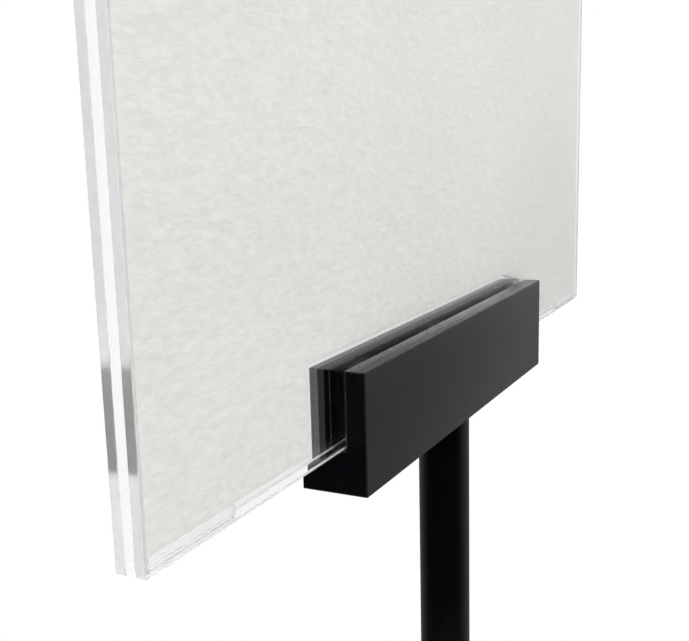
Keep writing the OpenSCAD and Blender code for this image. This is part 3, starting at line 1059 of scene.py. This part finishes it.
def buildBasePlate():
    print("base plate")
    low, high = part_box("base_plate")
    poleLow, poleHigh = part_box("pole_tube")
    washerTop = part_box("base_flat_washer")[1].z
    plate = addRod(high.x, (0, 0, low.z), (0, 0, high.z), plateShape["sides"])
    pickEdges(plate, lambda a, b: a.z > high.z - near and b.z > high.z - near)
    bpy.ops.mesh.bevel(offset=plateShape["rimTop"], segments=6, affect="EDGES")
    closePiece()
    pickEdges(plate, lambda a, b: a.z < low.z + near and b.z < low.z + near)
    bpy.ops.mesh.bevel(offset=plateShape["rimBottom"], segments=4, affect="EDGES")
    closePiece()
    # seat for the pole, recess for the bolt's head, and the bolt's hole
    seatRadius = poleHigh.x + plateShape["poleClearance"]
    carve(plate, addRod(seatRadius, (0, 0, poleLow.z), (0, 0, high.z + past)))
    carve(plate, addRod(plateShape["recess"], (0, 0, low.z - past), (0, 0, washerTop)))
    carve(plate, addRod(plateShape["hole"], (0, 0, low.z), (0, 0, high.z)))
    smooth(plate)
    settle(plate, "basePlate")
    dress(plate, "base_powder_coat", "stand", "base_plate")


padShape = {
    "count": 6,
    "radius": 10 * mm,
    "taper": 1.2 * mm,
    "ring": 2.2 * mm,
    "hollow": 0.9 * mm,
    "round": 0.35 * mm,
}


def buildPads():
    print("rubber pads")
    low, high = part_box("base_pads")
    height = high.z - low.z
    footRadius = padShape["radius"] - padShape["taper"]
    circle = high.y - padShape["radius"]
    pads = []
    for number in range(padShape["count"]):
        angle = (number + 0.5) * 2 * math.pi / padShape["count"]
        centre = Vector((circle * math.cos(angle), circle * math.sin(angle), 0))
        if not pads:
            pad = addRod(footRadius, centre, centre + Vector((0, 0, height)), 64, padShape["radius"])
            pickFaces(pad, lambda middle, normal: normal.z < -0.9)
            bpy.ops.mesh.inset(thickness=padShape["ring"])
            bpy.ops.mesh.extrude_region_move(
                TRANSFORM_OT_translate={"value": (0, 0, padShape["hollow"])}
            )
            closePiece()
            roundEdges(pad, padShape["round"], 3, 40)
            smooth(pad)
            firstCentre = centre
        else:
            pad = copyOf(pads[0], "pad")
            pad.location = centre - firstCentre
        pads.append(pad)
    allPads = joinPieces(pads, "basePads")
    dress(allPads, "pad_rubber", "stand", "base_pads")


boltShape = {
    "shank": 4 * mm,
    "dome": 0.72,  # share of the head's height that is rounded over
    "socket": 2.5 * mm,
    "socketDepth": 2.6 * mm,
    "mouthWide": 3.6 * mm,
    "mouthNarrow": 2.2 * mm,
    "mouthDepth": 0.6 * mm,
    "round": 0.12 * mm,
}
washerShape = {"hole": 4.3 * mm, "split": 1.2 * mm, "springRound": 0.2 * mm, "flatRound": 0.25 * mm}


def buildBaseBolt():
    print("base bolt")
    low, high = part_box("base_bolt")
    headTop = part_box("base_spring_washer")[0].z
    bolt = addRod(high.x, (0, 0, low.z), (0, 0, headTop), 64)
    pickEdges(bolt, lambda a, b: a.z < low.z + near and b.z < low.z + near)
    bpy.ops.mesh.bevel(offset=(headTop - low.z) * boltShape["dome"], segments=8, affect="EDGES")
    closePiece()
    pickFaces(bolt, lambda middle, normal: normal.z > 0.9)
    bpy.ops.mesh.inset(thickness=high.x - boltShape["shank"])
    bpy.ops.mesh.extrude_region_move(TRANSFORM_OT_translate={"value": (0, 0, high.z - headTop)})
    closePiece()
    corner = boltShape["socket"] / math.cos(math.pi / 6)
    socketTop = low.z + boltShape["socketDepth"]
    carve(bolt, addRod(corner, (0, 0, low.z - past), (0, 0, socketTop), 6))
    mouth = addRod(
        boltShape["mouthWide"],
        (0, 0, low.z - boltShape["mouthDepth"]),
        (0, 0, low.z + boltShape["mouthDepth"]),
        64,
        boltShape["mouthNarrow"],
    )
    carve(bolt, mouth)
    roundEdges(bolt, boltShape["round"], 2, 40)
    smooth(bolt)
    settle(bolt, "baseBolt")
    dress(bolt, "zinc_steel", "stand", "base_bolt")


def buildBaseWashers():
    print("base washers")
    low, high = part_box("base_spring_washer")
    spring = tube(high.y, washerShape["hole"], low.z, high.z)
    halfSplit = washerShape["split"] / 2
    carve(spring, addBlock((0, -halfSplit, low.z - past), (2 * high.y, halfSplit, high.z + past)))
    roundEdges(spring, washerShape["springRound"], 2, 40)
    smooth(spring)
    settle(spring, "baseSpringWasher")
    dress(spring, "zinc_steel", "stand", "base_spring_washer")
    low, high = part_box("base_flat_washer")
    flat = tube(high.x, washerShape["hole"], low.z, high.z)
    roundEdges(flat, washerShape["flatRound"], 3, 40)
    smooth(flat)
    settle(flat, "baseFlatWasher")
    dress(flat, "zinc_steel", "stand", "base_flat_washer")


buildBasePlate()
buildPads()
buildBaseBolt()
buildBaseWashers()


# Pole and swivel washer

poleShape = {"wall": 1.6 * mm, "sides": 128, "lip": 0.35 * mm}
swivelShape = {"hole": 5.05 * mm, "round": 0.2 * mm}


def buildPole():
    print("pole")
    low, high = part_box("pole_tube")
    pole = tube(high.x, high.x - poleShape["wall"], low.z, high.z, poleShape["sides"])
    roundEdges(pole, poleShape["lip"], 3, 40)
    smooth(pole)
    settle(pole, "poleTube")
    dress(pole, "pole_enamel", "stand", "pole_tube")


def buildSwivelWasher():
    print("swivel washer")
    low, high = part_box("swivel_washer")
    washer = tube(high.x, swivelShape["hole"], low.z, high.z)
    roundEdges(washer, swivelShape["round"], 3, 40)
    smooth(washer)
    settle(washer, "swivelWasher")
    dress(washer, "black_nylon", "stand", "swivel_washer")


buildPole()
buildSwivelWasher()


# Clamp bar with its slot, screw bores and swivel bore

barShape = {
    "slotSpare": 0.05 * mm,
    "edge": 0.45 * mm,
    "bore": 2.55 * mm,
    "countersink": 3.1 * mm,
    "swivelBore": 5.05 * mm,
    "swivelDepth": 13 * mm,
}
screwNames = ("left", "middle", "right", "swivel")


def screwCentre(side):
    low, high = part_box(side + "_screw")
    return (low + high) / 2


def addBoreCutter(centre, back, depth, radius, mouth):
    # round bore from the back face, with a small countersink at its mouth
    bore = addRod(radius, (0, 0, -depth), (0, 0, past), 64)
    sink = addRod(radius * 0.9, (0, 0, radius - mouth), (0, 0, mm), 64, mouth + mm)
    pick(bore)
    union = bore.modifiers.new("mouth", "BOOLEAN")
    union.operation = "UNION"
    union.solver = "EXACT"
    union.object = sink
    bpy.ops.object.modifier_apply(modifier=union.name)
    bpy.data.objects.remove(sink, do_unlink=True)
    # lay it down so that its mouth is at the bar's back
    bore.rotation_euler = (-math.pi / 2, 0, 0)
    bore.location = (centre.x, back, centre.z)
    pick(bore)
    bpy.ops.object.transform_apply(location=True, rotation=True, scale=True)
    return bore


def buildClampBar():
    print("clamp bar")
    low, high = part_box("clamp_bar")
    stripLow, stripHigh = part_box("slot_strip")
    halfSlot = stripHigh.y + barShape["slotSpare"]
    bar = addBlock(low, high)
    slotStart = (low.x - past, -halfSlot, stripLow.z)
    slotEnd = (high.x + past, halfSlot, high.z + past)
    carve(bar, addBlock(slotStart, slotEnd))
    roundEdges(bar, barShape["edge"], 4)
    for side in screwNames:
        centre = screwCentre(side)
        depth = high.y if side == "swivel" else high.y - halfSlot + mm
        carve(bar, addBoreCutter(centre, high.y, depth, barShape["bore"], barShape["countersink"]))
    swivelTop = low.z + barShape["swivelDepth"]
    carve(bar, addRod(barShape["swivelBore"], (0, 0, low.z - past), (0, 0, swivelTop)))
    smooth(bar)
    settle(bar, "clampBar")
    dress(bar, "black_anodised", "head", "clamp_bar")
    # the sawn ends are duller than the rest; they and the slot's faces get a deeper black, which is
    # painted shade
    bar.data.materials.append(sawnEndAndSlotShade)
    for face in bar.data.polygons:
        sawn = abs(face.normal.x) > 0.99
        inSlot = abs(face.center.y) < halfSlot + near / 10 and face.center.z > stripLow.z - near / 10
        face.material_index = 1 if sawn or inSlot else 0


buildClampBar()


# Set screws: threaded, with a hexagon socket at the back

screwShape = {
    "pitch": 0.8 * mm,
    "threadDepth": 0.32 * mm,
    "rings": 35,
    "lead": 2.2,  # how fast the groove runs out at the ends
    "socket": 2.5 * mm,
    "socketDepth": 2.8 * mm,
    "sink": 0.35 * mm,
}


def buildScrews():
    print("set screws")
    low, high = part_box("middle_screw")
    length = high.y - low.y
    radius = (high.x - low.x) / 2
    screw = addRod(radius, (0, 0, -length), (0, 0, 0), 48)
    pickEdges(screw, lambda a, b: abs(a.z - b.z) > length / 2)
    bpy.ops.mesh.subdivide(number_cuts=screwShape["rings"])
    closePiece()
    # a helical groove, running out at both ends
    for point in screw.data.vertices:
        spot = point.co
        turn = spot.z / screwShape["pitch"] - math.atan2(spot.y, spot.x) / (2 * math.pi)
        groove = 2 * abs(turn - round(turn))
        lead = min(1, screwShape["lead"] * min(-spot.z, length + spot.z) / screwShape["pitch"])
        shrink = screwShape["threadDepth"] * (1 - groove * lead)
        scale = (radius - shrink) / radius
        spot.x *= scale
        spot.y *= scale
    corner = screwShape["socket"] / 2 / math.cos(math.pi / 6)
    carve(screw, addRod(corner, (0, 0, -screwShape["socketDepth"]), (0, 0, past), 6))
    sink = screwShape["sink"]
    carve(screw, addRod(corner - sink, (0, 0, -sink), (0, 0, sink), 48, corner + sink))
    smooth(screw, 38)
    for side in screwNames:
        centre = screwCentre(side)
        piece = copyOf(screw, side + "SetScrew")
        piece.rotation_euler = (-math.pi / 2, 0, 0)
        piece.location = (centre.x, centre.y + length / 2, centre.z)
        settle(piece, side + "SetScrew")
        dress(piece, "black_oxide_steel", side + "_screw", side + "_screw")
    bpy.data.objects.remove(screw, do_unlink=True)


buildScrews()


# Clear panes and the clear blocks between them

paneShape = {"edge": 0.3 * mm, "corner": 1.0 * mm}
blockShape = {"edge": 0.2 * mm, "clearance": 0.03 * mm, "restWidth": 40 * mm}


def edgesToCutFinish(piece):
    # the big faces stay polished, the thin faces around them are cut
    piece.data.materials.append(cutEdge)
    for face in piece.data.polygons:
        face.material_index = 0 if abs(face.normal.y) > 0.99 else 1


def buildPane(nodeName, pieceName, body):
    low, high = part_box(nodeName)
    pane = addBlock(low, high)
    pickEdges(pane, lambda a, b: abs(a.y - b.y) > mm)
    bpy.ops.mesh.bevel(offset=paneShape["corner"], segments=4, affect="EDGES")
    closePiece()
    roundEdges(pane, paneShape["edge"], 2)
    settle(pane, pieceName)
    dress(pane, "clear_acrylic", body, nodeName)
    edgesToCutFinish(pane)


def buildBlocks(nodeName, pieceName, spans):
    # one block for each span along X
    low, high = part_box(nodeName)
    back = high.y - blockShape["clearance"]
    blocks = []
    for start, end in spans:
        block = addBlock((start, low.y, low.z), (end, back, high.z))
        roundEdges(block, blockShape["edge"], 2)
        blocks.append(block)
    joined = joinPieces(blocks, pieceName)
    dress(joined, "clear_acrylic", "rear_pane", nodeName)
    edgesToCutFinish(joined)


def buildPanes():
    print("clear panes")
    buildPane("front_pane", "frontPane", "front_pane")
    buildPane("rear_pane", "rearPane", "rear_pane")
    low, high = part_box("pane_spacers")
    step = screwCentre("right").x
    width = high.x - low.x - 2 * step
    spans = [(middle - width / 2, middle + width / 2) for middle in (-step, 0, step)]
    buildBlocks("pane_spacers", "paneSpacers", spans)
    low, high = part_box("insert_rests")
    width = blockShape["restWidth"]
    buildBlocks("insert_rests", "insertRests", [(low.x, low.x + width), (high.x - width, high.x)])


buildPanes()


# Insert board: a notched board with a soft relief pressed into both faces

boardShape = {
    "cell": 2.1 * mm,
    "thickness": 2.55 * mm,
    "edge": 0.2 * mm,
    "relief": 0.2 * mm,
    "wrinkle": 5.5 * mm,
    "stretch": 2.3,
    "sideGap": 22 * mm,  # notch, left of the bar
    "topGap": 7 * mm,  # notch, above the bar
    "tuck": 6.8 * mm,  # notch's right side, inside the bar's end
    "slopeWidth": 26 * mm,  # sloping corner between the notch's top and its right side
    "slopeLow": 0.8 * mm,
}


def buildBoard():
    print("insert board")
    low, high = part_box("insert_board")
    barLow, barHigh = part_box("clamp_bar")
    width = high.x - low.x
    height = high.z - low.z
    middle = (low + high) / 2
    deselectAll()
    bpy.ops.mesh.primitive_grid_add(
        x_subdivisions=round(width / boardShape["cell"]),
        y_subdivisions=round(height / boardShape["cell"]),
        size=1,
        location=middle,
        rotation=(math.pi / 2, 0, 0),
    )
    board = bpy.context.object
    board.scale = (width, height, 1)
    bpy.ops.object.transform_apply(location=True, rotation=True, scale=True)
    left = barLow.x - boardShape["sideGap"]
    right = barHigh.x - boardShape["tuck"]
    top = barHigh.z + boardShape["topGap"]
    slopeLow = barHigh.z + boardShape["slopeLow"]
    fall = (top - slopeLow) / boardShape["slopeWidth"]
    cuts = (
        ((left, 0, 0), (1, 0, 0)),
        ((right, 0, 0), (1, 0, 0)),
        ((0, 0, top), (0, 0, 1)),
        ((right, 0, slopeLow), (fall, 0, 1)),
    )
    for point, normal in cuts:
        openPiece(board)
        bpy.ops.mesh.select_all(action="SELECT")
        bpy.ops.mesh.bisect(plane_co=point, plane_no=normal)
        closePiece()

    def inNotch(centre, normal):
        # under the level top and the sloping corner
        ceiling = min(top, slopeLow + (right - centre.x) * fall)
        return left < centre.x < right and centre.z < ceiling

    pickFaces(board, inNotch)
    bpy.ops.mesh.delete(type="FACE")
    bpy.ops.mesh.select_all(action="SELECT")
    bpy.ops.mesh.remove_doubles(threshold=near / 2)
    closePiece()
    pick(board)
    wall = board.modifiers.new("thickness", "SOLIDIFY")
    wall.thickness = boardShape["thickness"]
    wall.offset = 0
    bpy.ops.object.modifier_apply(modifier=wall.name)
    roundEdges(board, boardShape["edge"], 2, 60)
    # the pattern is stretched by an empty that is thrown away again
    stretcher = bpy.data.objects.new("reliefStretch", None)
    scene.collection.objects.link(stretcher)
    stretcher.scale = (boardShape["stretch"], 1, 1)
    bpy.context.view_layer.update()
    pattern = bpy.data.textures.new("pressedRelief", "CLOUDS")
    pattern.noise_scale = boardShape["wrinkle"]
    pattern.noise_depth = 2
    press = board.modifiers.new("relief", "DISPLACE")
    press.texture = pattern
    press.texture_coords = "OBJECT"
    press.texture_coords_object = stretcher
    press.direction = "NORMAL"
    press.mid_level = 0.5
    press.strength = boardShape["relief"]
    pick(board)
    bpy.ops.object.modifier_apply(modifier=press.name)
    bpy.data.objects.remove(stretcher, do_unlink=True)
    smooth(board, 40)
    settle(board, "insertBoard")
    dress(board, "embossed_board", "insert", "insert_board")


buildBoard()


# Floor

print("floor")
deselectAll()
bpy.ops.mesh.primitive_circle_add(vertices=128, radius=studio["floorRadius"], fill_type="NGON")
floor = settle(bpy.context.object, "studioFloor")
floor.data.materials.append(floorFinish("floorPaper"))
